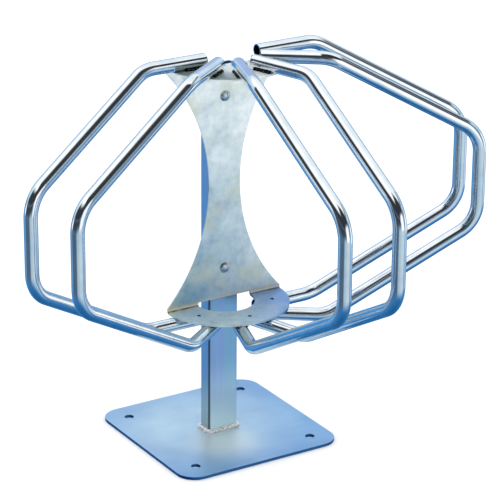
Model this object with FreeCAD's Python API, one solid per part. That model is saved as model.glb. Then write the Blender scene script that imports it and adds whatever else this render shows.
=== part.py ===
"""Star bike rack for three bicycles, on a post with a floor plate.

A waisted sheet bracket is bolted to the front of a rectangular post. Its top and bottom edges are
folded forward into half-ring flanges. Six bent tubes fan out between the flanges in three pairs,
and each pair holds one front wheel: to the left, to the front and to the right.

Origin: centre of the floor plate's underside. +Z is up, the front is towards -Y. Millimetres.
"""
import FreeCAD
import Part
import math
import os

V = FreeCAD.Vector
UP = V(0, 0, 1)

# Floor plate
BASE_SIDE = 270.0
BASE_THICKNESS = 5.0
BASE_CORNER_R = 30.0
BASE_EDGE_CHAMFER = 0.6
ANCHOR_HOLE_D = 14.0
ANCHOR_EDGE_DISTANCE = 35.0

# Post, a rectangular hollow section
POST_WIDTH = 50.0
POST_DEPTH = 25.0
POST_WALL = 2.0
POST_INNER_CORNER_R = 1.0
POST_STOPS_BELOW_TOP = 12.0
FOOT_WELD_LEG = 5.0

# Bracket, folded from one sheet
BRACKET_MIDDLE_Z = 403.0
BRACKET_HEIGHT = 376.0
SHEET_THICKNESS = 3.0
FOLD_INNER_R = 2.0
FLANGE_R = 97.0
FLANGE_CUTOUT_R = 45.0
WAIST_WIDTH = 52.0
SHOULDER_ABOVE_FOLD = 3.0
FLANGE_HOLE_D = 6.0
FLANGE_HOLE_STEP = 63.0

# Six hoops of round tube in three holders
TUBE_D = 20.0
TUBE_WALL = 1.5
WHEEL_SLOT = 68.0
HOLDER_STEP = 72.0
TUBE_END_GAP = 8.0
REAR_HOOP_CLEARANCE = 5.0
HOOP_REACH = 365.0
OUTER_RUN = 138.0
BEND_R = 50.0

# Beads between the hoops and the flanges
BEAD_LENGTH = 32.0
BEAD_SETBACK = 4.0
BEAD_HEIGHT = 4.5
BEAD_TOE = 2.0
BEAD_ROOT_GAP = 0.4

# Domed bolts that hold the bracket on the post
BOLT_FROM_END = 55.0
BOLT_D = 6.0
BOLT_HEAD_D = 16.0
BOLT_HEAD_HEIGHT = 4.0
BOLT_HEAD_RIM = 0.8
BOLT_TIP = 3.0
WASHER_D = 16.0
WASHER_THICKNESS = 1.6
NUT_WALL = 2.0
NUT_HEIGHT = 5.0

# Clearances
BOLT_CLEARANCE = 0.25
THREAD_CLEARANCE = 0.05

# Derived places and sizes
ANCHOR_SPACING = BASE_SIDE - 2 * ANCHOR_EDGE_DISTANCE
POST_CORNER_R = POST_INNER_CORNER_R + POST_WALL
POST_FRONT_Y = -POST_DEPTH / 2
POST_BACK_Y = POST_DEPTH / 2
BRACKET_FRONT_Y = POST_FRONT_Y - SHEET_THICKNESS
BRACKET_TOP_Z = BRACKET_MIDDLE_Z + BRACKET_HEIGHT / 2
BRACKET_BOTTOM_Z = BRACKET_MIDDLE_Z - BRACKET_HEIGHT / 2
SHOULDER_HEIGHT = SHEET_THICKNESS + FOLD_INNER_R + SHOULDER_ABOVE_FOLD
POST_TOP_Z = BRACKET_TOP_Z - POST_STOPS_BELOW_TOP
TUBE_R = TUBE_D / 2
TUBE_TOP_Z = BRACKET_TOP_Z + TUBE_R
TUBE_BOTTOM_Z = BRACKET_BOTTOM_Z - TUBE_R
HOOP_OFFSET = (WHEEL_SLOT + TUBE_D) / 2
FAN_CENTRE = V(0, BRACKET_FRONT_Y - REAR_HOOP_CLEARANCE - TUBE_R, 0)
# The tube ends fan out evenly, so neighbouring ends stand two splay angles apart
SPLAY = math.radians(HOLDER_STEP / 4)
TUBE_END_R = (TUBE_R * math.cos(SPLAY) + TUBE_END_GAP / 2) / math.sin(SPLAY)
BOLT_HEIGHTS = {
    "upper": BRACKET_TOP_Z - BOLT_FROM_END,
    "lower": BRACKET_BOTTOM_Z + BOLT_FROM_END,
}


def rounded_rectangle(width, depth, radius, z):
    """Wire of a rectangle with round corners, centred on the origin at height z."""
    x = width / 2 - radius
    y = depth / 2 - radius
    arcs = []
    for quarter, (centre_x, centre_y) in enumerate([(x, y), (-x, y), (-x, -y), (x, -y)]):
        circle = Part.Circle(V(centre_x, centre_y, z), UP, radius)
        arcs.append(Part.ArcOfCircle(circle, quarter * math.pi / 2, (quarter + 1) * math.pi / 2))
    edges = []
    for arc, following in zip(arcs, arcs[1:] + arcs[:1]):
        edges.append(arc.toShape())
        edges.append(Part.LineSegment(arc.EndPoint, following.StartPoint).toShape())
    return Part.Wire(edges)


def prism(wire, height):
    """Solid that rises by height from a closed flat wire."""
    return Part.Face(wire).extrude(V(0, 0, height))


def bearing(angle):
    """Level unit vector at an angle in radians, 0 straight forward and positive to the right."""
    return V(math.sin(angle), -math.cos(angle), 0)


def base_plate():
    """Square floor plate with round corners, a broken top edge and four anchor holes."""
    plate = prism(rounded_rectangle(BASE_SIDE, BASE_SIDE, BASE_CORNER_R, 0), BASE_THICKNESS)
    top = [edge for edge in plate.Edges if edge.BoundBox.ZMin > BASE_THICKNESS / 2]
    plate = plate.makeChamfer(BASE_EDGE_CHAMFER, top)
    for x in (-1, 1):
        for y in (-1, 1):
            place = V(x * ANCHOR_SPACING / 2, y * ANCHOR_SPACING / 2, 0)
            plate = plate.cut(Part.makeCylinder(ANCHOR_HOLE_D / 2, BASE_THICKNESS, place))
    return plate


def post():
    """Hollow post, open at the top, drilled through for the two bolts."""
    height = POST_TOP_Z - BASE_THICKNESS
    outside = prism(rounded_rectangle(POST_WIDTH, POST_DEPTH, POST_CORNER_R, BASE_THICKNESS), height)
    inside = prism(rounded_rectangle(POST_WIDTH - 2 * POST_WALL, POST_DEPTH - 2 * POST_WALL,
                                     POST_INNER_CORNER_R, BASE_THICKNESS), height)
    shape = outside.cut(inside)
    for z in BOLT_HEIGHTS.values():
        shape = shape.cut(bolt_bore(POST_FRONT_Y, POST_DEPTH, z))
    return shape


def foot_weld():
    """Bead all round the post's foot, from the plate up to its leg length on the post."""
    toe = rounded_rectangle(POST_WIDTH + 2 * FOOT_WELD_LEG, POST_DEPTH + 2 * FOOT_WELD_LEG,
                            POST_CORNER_R + FOOT_WELD_LEG, BASE_THICKNESS)
    crest_z = BASE_THICKNESS + FOOT_WELD_LEG
    crest = rounded_rectangle(POST_WIDTH, POST_DEPTH, POST_CORNER_R, crest_z)
    core = prism(rounded_rectangle(POST_WIDTH, POST_DEPTH, POST_CORNER_R, BASE_THICKNESS), FOOT_WELD_LEG)
    return Part.makeLoft([toe, crest], True, True).cut(core)


def fold_plan(radius, z):
    """Plan of a half disc ahead of the bracket's face and the sheet behind it, at height z."""
    left_back = V(-radius, POST_FRONT_Y, z)
    right_back = V(radius, POST_FRONT_Y, z)
    left = V(-radius, BRACKET_FRONT_Y, z)
    right = V(radius, BRACKET_FRONT_Y, z)
    nose = V(0, BRACKET_FRONT_Y - radius, z)
    return Part.Wire([
        Part.LineSegment(left_back, left).toShape(),
        Part.Arc(left, nose, right).toShape(),
        Part.LineSegment(right, right_back).toShape(),
        Part.LineSegment(right_back, left_back).toShape(),
    ])


def round_back(box, radius):
    """Rounds a box's two long edges at the back, where the sheet folds."""
    middle_y = box.BoundBox.Center.y
    folds = [edge for edge in box.Edges if edge.BoundBox.YMin > middle_y and edge.BoundBox.XLength > radius]
    return box.makeFillet(radius, folds)


def channel():
    """The folded sheet before its outline is cut: a channel as wide as the flanges, with round folds."""
    corner = V(-FLANGE_R, BRACKET_FRONT_Y - FLANGE_R, BRACKET_BOTTOM_Z)
    outside = Part.makeBox(2 * FLANGE_R, FLANGE_R + SHEET_THICKNESS, BRACKET_HEIGHT, corner)
    inside = Part.makeBox(2 * FLANGE_R, FLANGE_R, BRACKET_HEIGHT - 2 * SHEET_THICKNESS,
                          corner + V(0, 0, SHEET_THICKNESS))
    return round_back(outside, FOLD_INNER_R + SHEET_THICKNESS).cut(round_back(inside, FOLD_INNER_R))


def side_bite(side):
    """The rounded bite that gives the bracket its waist, on one side."""
    waist = V(side * WAIST_WIDTH / 2, BRACKET_FRONT_Y, BRACKET_MIDDLE_Z)
    top = V(side * FLANGE_R, BRACKET_FRONT_Y, BRACKET_TOP_Z - SHOULDER_HEIGHT)
    bottom = V(side * FLANGE_R, BRACKET_FRONT_Y, BRACKET_BOTTOM_Z + SHOULDER_HEIGHT)
    wire = Part.Wire([Part.Arc(top, waist, bottom).toShape(), Part.LineSegment(bottom, top).toShape()])
    return Part.Face(wire).extrude(V(0, SHEET_THICKNESS, 0))


def bracket():
    """Waisted sheet with a half-ring flange folded forward at the top and at the bottom."""
    shape = channel().common(prism(fold_plan(FLANGE_R, BRACKET_BOTTOM_Z), BRACKET_HEIGHT))
    for side in (-1, 1):
        shape = shape.cut(side_bite(side))
    hole_circle_r = (FLANGE_R + FLANGE_CUTOUT_R) / 2
    for z in (BRACKET_BOTTOM_Z, BRACKET_TOP_Z - SHOULDER_HEIGHT):
        shape = shape.cut(prism(fold_plan(FLANGE_CUTOUT_R, z), SHOULDER_HEIGHT))
        for step in (-1, 0, 1):
            place = bearing(math.radians(step * FLANGE_HOLE_STEP)) * hole_circle_r + V(0, BRACKET_FRONT_Y, z)
            shape = shape.cut(Part.makeCylinder(FLANGE_HOLE_D / 2, SHOULDER_HEIGHT, place))
    neck_hole = BOLT_D + 2 * BOLT_CLEARANCE
    for z in BOLT_HEIGHTS.values():
        corner = V(-neck_hole / 2, BRACKET_FRONT_Y, z - neck_hole / 2)
        shape = shape.cut(Part.makeBox(neck_hole, SHEET_THICKNESS, neck_hole, corner))
    return shape


def hoop_points(holder_angle, side):
    """Corners of one hoop's centreline, from its end on the top flange to its end under the bottom one."""
    outward = bearing(holder_angle)
    across = bearing(holder_angle + math.pi / 2)
    run = bearing(holder_angle + side * SPLAY)
    end = FAN_CENTRE + run * TUBE_END_R
    turn_in = FAN_CENTRE + run * (HOOP_OFFSET / math.sin(SPLAY))
    outer = FAN_CENTRE + outward * HOOP_REACH + across * (side * HOOP_OFFSET)
    return [
        end + UP * TUBE_TOP_Z,
        turn_in + UP * TUBE_TOP_Z,
        outer + UP * (BRACKET_MIDDLE_Z + OUTER_RUN / 2),
        outer + UP * (BRACKET_MIDDLE_Z - OUTER_RUN / 2),
        turn_in + UP * TUBE_BOTTOM_Z,
        end + UP * TUBE_BOTTOM_Z,
    ]


def bent_path(points, radius):
    """Wire through the points, with each inner corner rounded to the bend radius."""
    edges = []
    start = points[0]
    for before, corner, after in zip(points, points[1:], points[2:]):
        back = (before - corner).normalize()
        ahead = (after - corner).normalize()
        half_angle = back.getAngle(ahead) / 2
        setback = radius / math.tan(half_angle)
        to_centre = (back + ahead).normalize()
        middle = corner + to_centre * (radius / math.sin(half_angle) - radius)
        arc_start = corner + back * setback
        arc_end = corner + ahead * setback
        edges.append(Part.LineSegment(start, arc_start).toShape())
        edges.append(Part.Arc(arc_start, middle, arc_end).toShape())
        start = arc_end
    edges.append(Part.LineSegment(start, points[-1]).toShape())
    return Part.Wire(edges)


def hoop(points):
    """Bent round tube with open ends."""
    path = bent_path(points, BEND_R)
    along = points[1] - points[0]
    solids = []
    for radius in (TUBE_R, TUBE_R - TUBE_WALL):
        ring = Part.Wire(Part.Circle(points[0], along, radius).toShape())
        solids.append(path.makePipeShell([ring], True, False))
    return solids[0].cut(solids[1])


def tube_side(height):
    """Distance from a tube's contact line to where its wall stands this high above the flange."""
    return math.sqrt(2 * TUBE_R * height - height ** 2)


def hoop_welds(end, corner, rise):
    """Two beads that hold a hoop's end on a flange, one in each groove beside the tube.

    The tube runs from its end to the corner, and rise points away from the flange.
    """
    along = (corner - end).normalize()
    across = along.cross(UP)
    tube = Part.makeCylinder(TUBE_R, end.distanceToPoint(corner), end, along)
    start = end - rise * TUBE_R + along * BEAD_SETBACK
    outline = [
        (tube_side(BEAD_ROOT_GAP), 0),
        (tube_side(BEAD_HEIGHT) + BEAD_TOE, 0),
        (tube_side(BEAD_HEIGHT), BEAD_HEIGHT),
        (tube_side(BEAD_ROOT_GAP), BEAD_HEIGHT),
    ]
    beads = []
    for side in (-1, 1):
        corners = [start + across * (side * out) + rise * up for out, up in outline]
        bar = Part.Face(Part.makePolygon(corners + corners[:1])).extrude(along * BEAD_LENGTH)
        beads.append(bar.cut(tube))
    return Part.Compound(beads)


def bolt_bore(y, depth, z):
    """Clearance hole for a bolt, running back from y."""
    return Part.makeCylinder(BOLT_D / 2 + BOLT_CLEARANCE, depth, V(0, y, z), V(0, 1, 0))


def bolt(z):
    """Domed bolt with a square neck that the bracket's square hole keeps from turning."""
    head_r = BOLT_HEAD_D / 2
    dome_rise = BOLT_HEAD_HEIGHT - BOLT_HEAD_RIM
    dome_r = (head_r ** 2 + dome_rise ** 2) / (2 * dome_rise)
    seat = V(0, BRACKET_FRONT_Y, z)
    seat_rim = V(head_r, BRACKET_FRONT_Y, z)
    rim = V(head_r, BRACKET_FRONT_Y - BOLT_HEAD_RIM, z)
    crown = V(0, BRACKET_FRONT_Y - BOLT_HEAD_HEIGHT, z)
    shoulder = V(head_r / 2, crown.y + dome_r - math.sqrt(dome_r ** 2 - (head_r / 2) ** 2), z)
    profile = Part.Wire([
        Part.LineSegment(crown, seat).toShape(),
        Part.LineSegment(seat, seat_rim).toShape(),
        Part.LineSegment(seat_rim, rim).toShape(),
        Part.Arc(rim, shoulder, crown).toShape(),
    ])
    head = Part.Face(profile).revolve(V(0, 0, z), V(0, 1, 0), 360)
    neck = Part.makeBox(BOLT_D, SHEET_THICKNESS, BOLT_D, V(-BOLT_D / 2, BRACKET_FRONT_Y, z - BOLT_D / 2))
    reach = SHEET_THICKNESS + POST_DEPTH + WASHER_THICKNESS + NUT_HEIGHT + BOLT_TIP
    shank = Part.makeCylinder(BOLT_D / 2, reach, seat, V(0, 1, 0))
    return head.fuse([neck, shank]).removeSplitter()


def washer(z):
    """Flat washer against the back of the post."""
    disc = Part.makeCylinder(WASHER_D / 2, WASHER_THICKNESS, V(0, POST_BACK_Y, z), V(0, 1, 0))
    return disc.cut(bolt_bore(POST_BACK_Y, WASHER_THICKNESS, z))


def nut(z):
    """Hexagon nut on the washer."""
    y = POST_BACK_Y + WASHER_THICKNESS
    corner_r = (BOLT_D / 2 + NUT_WALL) / math.cos(math.radians(30))
    corners = []
    for step in range(7):
        angle = math.radians(60 * step)
        corners.append(V(corner_r * math.sin(angle), y, z + corner_r * math.cos(angle)))
    body = Part.Face(Part.makePolygon(corners)).extrude(V(0, NUT_HEIGHT, 0))
    return body.cut(Part.makeCylinder(BOLT_D / 2 + THREAD_CLEARANCE, NUT_HEIGHT, V(0, y, z), V(0, 1, 0)))


nodes = {
    "base_plate": base_plate(),
    "post": post(),
    "foot_weld": foot_weld(),
    "bracket": bracket(),
}

# Each holder has two hoops, the first on its clockwise side seen from above
HOLDERS = {"left": (-1, "rear", "front"), "front": (0, "left", "right"), "right": (1, "front", "rear")}
for holder, (step, first, second) in HOLDERS.items():
    for side, side_name in ((-1, first), (1, second)):
        points = hoop_points(math.radians(step * HOLDER_STEP), side)
        name = f"{holder}_hoop_{side_name}"
        nodes[name] = hoop(points)
        nodes[f"{name}_upper_weld"] = hoop_welds(points[0], points[1], UP)
        nodes[f"{name}_lower_weld"] = hoop_welds(points[-1], points[-2], -UP)

for level, height in BOLT_HEIGHTS.items():
    nodes[f"{level}_bolt"] = bolt(height)
    nodes[f"{level}_washer"] = washer(height)
    nodes[f"{level}_nut"] = nut(height)

os.makedirs("parts", exist_ok=True)
for name, shape in nodes.items():
    shape.exportStep(f"parts/{name}.step")
    print(name, len(shape.Solids), shape.isValid(), round(shape.Volume, 1))
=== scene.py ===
import bpy
import math
import random
from mathutils import Matrix, Quaternion, Vector


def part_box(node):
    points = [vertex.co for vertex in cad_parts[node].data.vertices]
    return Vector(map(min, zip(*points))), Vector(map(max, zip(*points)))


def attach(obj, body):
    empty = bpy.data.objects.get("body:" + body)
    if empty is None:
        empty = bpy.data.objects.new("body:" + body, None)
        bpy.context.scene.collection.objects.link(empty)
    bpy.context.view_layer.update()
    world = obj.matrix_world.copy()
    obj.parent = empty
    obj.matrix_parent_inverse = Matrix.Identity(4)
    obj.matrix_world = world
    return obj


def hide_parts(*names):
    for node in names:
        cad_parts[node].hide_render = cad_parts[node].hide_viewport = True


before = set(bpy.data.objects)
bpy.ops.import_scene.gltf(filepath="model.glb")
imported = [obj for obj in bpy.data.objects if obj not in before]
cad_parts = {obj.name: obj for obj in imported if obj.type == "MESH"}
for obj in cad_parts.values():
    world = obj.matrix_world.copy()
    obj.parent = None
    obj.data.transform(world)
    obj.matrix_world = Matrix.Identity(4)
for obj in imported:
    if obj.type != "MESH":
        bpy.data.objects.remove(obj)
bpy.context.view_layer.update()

# Floor plate
# A square of 5 mm steel plate with round corners, drilled for four ground anchors and zinc plated.
# The post is welded to its middle, and everything else hangs on the post.
PLATE_CORNER_R = 0.030
PLATE_CORNER_FACETS = 14
PLATE_EDGE_R = 0.0006
ANCHOR_HOLE_R = 0.007
ANCHOR_HOLE_FACETS = 48
ANCHOR_EDGE_DISTANCE = 0.035
DOUBLES_WITHIN = 1e-6
EASING_STEPS = 3
EASED_ABOVE = math.radians(35)
SMOOTH_BELOW = math.radians(40)
plate_low, plate_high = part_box("base_plate")


def take(*pieces):
    """Selects these objects alone, with the first of them active."""
    bpy.ops.object.select_all(action="DESELECT")
    for piece in pieces:
        piece.select_set(True)
    bpy.context.view_layer.objects.active = pieces[0]


def open_piece(name):
    """Names the primitive that was just added, fixes its place in its mesh and opens it for shaping."""
    piece = bpy.context.object
    piece.name = name
    piece.data.name = name
    bpy.ops.object.transform_apply(location=True, rotation=True, scale=True)
    bpy.ops.object.mode_set(mode="EDIT")
    bpy.ops.mesh.select_all(action="SELECT")
    return piece


def close_piece():
    """Merges the doubles of the open piece, turns its faces outwards and leaves edit mode."""
    bpy.ops.mesh.select_all(action="SELECT")
    bpy.ops.mesh.remove_doubles(threshold=DOUBLES_WITHIN)
    bpy.ops.mesh.normals_make_consistent(inside=False)
    bpy.ops.object.mode_set(mode="OBJECT")


def modify(piece, kind, **settings):
    """Adds a modifier with these settings and applies it."""
    modifier = piece.modifiers.new(kind.lower(), kind)
    for name, value in settings.items():
        setattr(modifier, name, value)
    take(piece)
    bpy.ops.object.modifier_apply(modifier=modifier.name)


def cut_out(piece, cutter, operation="DIFFERENCE"):
    """Cuts, trims or joins a piece with another shape, throws that away and merges the doubles left."""
    modify(piece, "BOOLEAN", object=cutter, operation=operation, solver="EXACT")
    bpy.data.objects.remove(cutter)
    bpy.ops.object.mode_set(mode="EDIT")
    close_piece()


def ease_edges(piece, radius):
    """Rounds a piece's sharp edges a little, and shades it smooth with its flat faces kept flat."""
    modify(piece, "BEVEL", width=radius, segments=EASING_STEPS, limit_method="ANGLE",
           angle_limit=EASED_ABOVE)
    bpy.ops.object.shade_smooth_by_angle(angle=SMOOTH_BELOW)
    modify(piece, "WEIGHTED_NORMAL", keep_sharp=True)


def add(tree, kind, sockets=None, stops=(), **settings):
    """Adds a shader node with its settings, its colour stops, and its sockets as values or as links."""
    made = tree.nodes.new("ShaderNode" + kind)
    for name, value in settings.items():
        setattr(made, name, value)
    for name, value in (sockets or {}).items():
        if isinstance(value, bpy.types.NodeSocket):
            tree.links.new(value, made.inputs[name])
        else:
            made.inputs[name].default_value = value
    for number, (place, colour) in enumerate(stops):
        ends = {0: 0, len(stops) - 1: -1}
        ramp = made.color_ramp.elements
        stop = ramp[ends[number]] if number in ends else ramp.new(place)
        stop.position = place
        stop.color = colour
    return made


def linear(colour):
    """An sRGB colour such as #A0B0C0 as the linear colour, with alpha, that shaders work in."""
    parts = [int(colour[start:start + 2], 16) / 255 for start in (1, 3, 5)]
    return tuple(p / 12.92 if p < 0.04045 else ((p + 0.055) / 1.055) ** 2.4 for p in parts) + (1.0,)


def new_finish(name):
    """A new finish, metal to begin with: the material, its node tree and its surface shader."""
    finish = bpy.data.materials.new(name)
    finish.use_nodes = True
    shader = finish.node_tree.nodes["Principled BSDF"]
    shader.inputs["Metallic"].default_value = 1.0
    return finish, finish.node_tree, shader


def fit(piece, slot, *nodes):
    """Puts a finished piece in the place of its solids, on the rack's one body."""
    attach(piece, "root")
    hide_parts(*nodes)


plate_side = plate_high.x - plate_low.x
bpy.ops.object.select_all(action="DESELECT")
bpy.ops.mesh.primitive_plane_add(size=plate_side, location=(0, 0, plate_low.z))
plate = open_piece("floor_plate")
bpy.ops.mesh.bevel(affect="VERTICES", offset=PLATE_CORNER_R, segments=PLATE_CORNER_FACETS)
bpy.ops.mesh.extrude_region_move(TRANSFORM_OT_translate={"value": (0, 0, plate_high.z - plate_low.z)})
close_piece()
anchor = plate_side / 2 - ANCHOR_EDGE_DISTANCE
for x in (-anchor, anchor):
    for y in (-anchor, anchor):
        bpy.ops.mesh.primitive_cylinder_add(vertices=ANCHOR_HOLE_FACETS, radius=ANCHOR_HOLE_R,
                                            depth=4 * plate_high.z, location=(x, y, plate_high.z / 2))
        cut_out(plate, bpy.context.object)
ease_edges(plate, PLATE_EDGE_R)

# Zinc plated steel plate, clear passivated: a satin, slightly milky surface with a pale blue cast. Its blue
# deepens and darkens towards the rim, which is painted shade, and a pale patch in front of the post, where
# the plate is also a little less metal, is painted light. The rolled plate shows soft clouds of 80 mm and
# faint rolling lines along X, 3 mm apart and 150 mm long. Its fine grain is drawn 1.2 mm coarse so that it
# shows.
CLOUD = 0.080
ROLLING_LINE = (0.150, 0.003, 0.003)
UNSHADED_MIDDLE = (-0.030, 0.020, 0.005)
RIM_SHADE_STARTS = 0.060
RIM_SHADE_FULL = 0.170
LIT_PATCH_MIDDLE = (-0.020, -0.055, 0.005)
LIT_PATCH_FULL_WITHIN = 0.010
LIT_PATCH_REACH = 0.075
GRAIN = 0.0012
plate_zinc, tree, shader = new_finish("zinc_plated_steel_plate")
place = add(tree, "TexCoord").outputs["Object"]
clouds = add(tree, "TexNoise", {"Vector": place, "Scale": 1 / CLOUD, "Detail": 2.0, "Roughness": 0.5})
along_x = add(tree, "Mapping", {"Vector": place, "Scale": [1 / size for size in ROLLING_LINE]})
lines = add(tree, "TexNoise", {"Vector": along_x.outputs[0], "Scale": 1.0, "Detail": 3.0})
faint = add(tree, "MapRange", {"Value": lines.outputs[0], "To Min": 0.36, "To Max": 0.64})
both = add(tree, "Math", {0: clouds.outputs[0], 1: faint.outputs[0]}, operation="MULTIPLY")
tint = add(tree, "ValToRGB", {"Fac": both.outputs[0]},
           [(0.15, linear("#B9D1E2")), (0.26, linear("#C4DDE9")), (0.38, linear("#CEE7EE"))])
# Painted shade: the blue deepens and darkens away from the middle, towards the rim.
outward = add(tree, "VectorMath", {0: place, 1: UNSHADED_MIDDLE}, operation="DISTANCE")
painted_shade_share = add(tree, "MapRange", {"Value": outward.outputs["Value"], "From Min": RIM_SHADE_STARTS, "From Max": RIM_SHADE_FULL})
painted_blue = add(tree, "MixRGB", {"Fac": painted_shade_share.outputs[0], "Color1": tint.outputs[0], "Color2": linear("#C2DAF5")},
            blend_type="MULTIPLY")
# Painted light: a pale patch in front of the post, with a little less metal there.
from_lit_patch = add(tree, "VectorMath", {0: place, 1: LIT_PATCH_MIDDLE}, operation="DISTANCE")
lit_patch = add(tree, "MapRange", {"Value": from_lit_patch.outputs["Value"], "From Min": LIT_PATCH_REACH,
                                "From Max": LIT_PATCH_FULL_WITHIN, "To Max": 0.60},
             interpolation_type="SMOOTHSTEP")
lit_patched = add(tree, "MixRGB", {"Fac": lit_patch.outputs[0], "Color1": painted_blue.outputs[0],
                                "Color2": linear("#F0F4EE")})
tree.links.new(lit_patched.outputs[0], shader.inputs["Base Color"])
metal = add(tree, "MapRange", {"Value": lit_patch.outputs[0], "To Min": 0.78, "To Max": 0.62})
tree.links.new(metal.outputs[0], shader.inputs["Metallic"])
gloss = add(tree, "MapRange", {"Value": both.outputs[0], "From Min": 0.12, "From Max": 0.42,
                               "To Min": 0.42, "To Max": 0.32})
tree.links.new(gloss.outputs[0], shader.inputs["Roughness"])
grain = add(tree, "TexNoise", {"Vector": place, "Scale": 1 / GRAIN, "Detail": 2.0})
dent = add(tree, "Bump", {"Height": grain.outputs[0], "Strength": 0.10, "Distance": 0.0002})
tree.links.new(dent.outputs[0], shader.inputs["Normal"])

# Sheared and drilled edges: rougher, torn steel, coloured a darker blue than the face; that dark blue is
# painted shade on the walls. The torn grain is drawn 1.5 mm coarse so that it shows.
EDGE_GRAIN = 0.0015
WALL_NORMAL_Z = 0.6
shaded_edge_zinc, tree, shader = new_finish("sheared_edge_painted_shade")
place = add(tree, "TexCoord").outputs["Object"]
grain = add(tree, "TexNoise", {"Vector": place, "Scale": 1 / EDGE_GRAIN, "Detail": 3.0})
tint = add(tree, "ValToRGB", {"Fac": grain.outputs[0]},
           [(0.30, linear("#2B5A8C")), (0.70, linear("#4C82B4"))])
tree.links.new(tint.outputs[0], shader.inputs["Base Color"])
shader.inputs["Roughness"].default_value = 0.45
dent = add(tree, "Bump", {"Height": grain.outputs[0], "Strength": 0.25, "Distance": 0.0003})
tree.links.new(dent.outputs[0], shader.inputs["Normal"])

plate.data.materials.append(plate_zinc)
plate.data.materials.append(shaded_edge_zinc)
# The rim's and the holes' walls take the edge finish's painted shade.
for face in plate.data.polygons:
    face.material_index = 1 if abs(face.normal.z) < WALL_NORMAL_Z else 0
fit(plate, "plate_zinc", "base_plate")

# Post
# A 50 by 25 mm rectangular hollow section of 2 mm steel, cold formed, sawn off square and open at the top.
# It stands on the floor plate and is drilled through for the bracket's two bolts.
POST_WALL = 0.002
POST_CORNER_R = 0.003
POST_CORNER_FACETS = 8
POST_SAWN_EDGE_R = 0.0003
BOLT_HOLE_R = 0.00325
BOLT_HOLE_FACETS = 32
post_low, post_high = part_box("post")
post_size = post_high - post_low
bolt_heights = {}
for level in ("upper", "lower"):
    washer_low, washer_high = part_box(level + "_washer")
    bolt_heights[level] = (washer_low.z + washer_high.z) / 2

bpy.ops.mesh.primitive_plane_add(size=1, location=(0, 0, post_low.z))
bpy.context.object.scale = (post_size.x, post_size.y, 1)
post = open_piece("post_section")
bpy.ops.mesh.bevel(affect="VERTICES", offset=POST_CORNER_R, segments=POST_CORNER_FACETS)
bpy.ops.mesh.inset(thickness=POST_WALL)
bpy.ops.mesh.delete(type="FACE")
bpy.ops.mesh.select_all(action="SELECT")
bpy.ops.mesh.extrude_region_move(TRANSFORM_OT_translate={"value": (0, 0, post_size.z)})
close_piece()
for height in bolt_heights.values():
    bpy.ops.mesh.primitive_cylinder_add(vertices=BOLT_HOLE_FACETS, radius=BOLT_HOLE_R,
                                        depth=2 * post_size.y, location=(0, 0, height),
                                        rotation=(math.pi / 2, 0, 0))
    cut_out(post, bpy.context.object)
ease_edges(post, POST_SAWN_EDGE_R)

# Zinc plated cold-formed section: satin, with drawn lines up the post from the forming rolls. The real
# lines are about 0.2 mm apart; they are drawn 1.5 mm apart so that they show. The blue passivation shimmers
# in upright bands of 12 mm. Over the lowest 130 mm it is paler in front and a little less metal: painted
# light. The sides are coloured by which way they face, bluer above and greyer towards the foot: painted
# shade. A painted dark line runs up the front left corner: the shade on that corner.
DRAWN_LINE = (0.0015, 0.0015, 0.200)
SHIMMER_BAND = (0.012, 0.012, 0.300)
LIT_FOOT_HEIGHT = 0.130
CORNER_SHADE_FROM = 0.0015
CORNER_SHADE_TO = 0.0035
post_zinc, tree, shader = new_finish("zinc_plated_hollow_section")
surface = add(tree, "TexCoord")
place = surface.outputs["Object"]
along_z = add(tree, "Mapping", {"Vector": place, "Scale": [1 / size for size in DRAWN_LINE]})
lines = add(tree, "TexNoise", {"Vector": along_z.outputs[0], "Scale": 1.0, "Detail": 3.0, "Roughness": 0.6})
up_post = add(tree, "Mapping", {"Vector": place, "Scale": [1 / size for size in SHIMMER_BAND]})
bands = add(tree, "TexNoise", {"Vector": up_post.outputs[0], "Scale": 1.0, "Detail": 2.0})
tint = add(tree, "ValToRGB", {"Fac": bands.outputs[0]},
           [(0.34, linear("#93A6DA")), (0.50, linear("#93B2DC")), (0.66, linear("#88B8D4"))])
faint = add(tree, "ValToRGB", {"Fac": lines.outputs[0]},
            [(0.30, linear("#F8F8F8")), (0.70, linear("#FFFFFF"))])
drawn = add(tree, "MixRGB", {"Fac": 1.0, "Color1": tint.outputs[0], "Color2": faint.outputs[0]},
            blend_type="MULTIPLY")
spot = add(tree, "SeparateXYZ", {"Vector": place})
# Painted light: paler and a little less metal over the lowest 130 mm.
foot = add(tree, "MapRange", {"Value": spot.outputs["Z"], "From Min": post_low.z,
                              "From Max": post_low.z + LIT_FOOT_HEIGHT, "To Min": 1.0, "To Max": 0.0},
           interpolation_type="SMOOTHSTEP")
painted_pale_foot = add(tree, "MixRGB", {"Fac": foot.outputs[0], "Color1": drawn.outputs[0],
                             "Color2": linear("#D8F3FC")})
# Painted shade: the sides are coloured by which way they face, bluer above and greyer towards the foot.
outward = add(tree, "SeparateXYZ", {"Vector": surface.outputs["Normal"]})
sideways = add(tree, "Math", {0: outward.outputs["X"]}, operation="ABSOLUTE")
side_shade_share = add(tree, "MapRange", {"Value": sideways.outputs[0], "From Min": 0.3, "From Max": 0.9,
                                "To Max": 0.8})
side_shade = add(tree, "MixRGB", {"Fac": foot.outputs[0], "Color1": linear("#ACCCE2"),
                             "Color2": linear("#85919A")})
coloured = add(tree, "MixRGB", {"Fac": side_shade_share.outputs[0], "Color1": painted_pale_foot.outputs[0],
                                "Color2": side_shade.outputs[0]})
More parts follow.
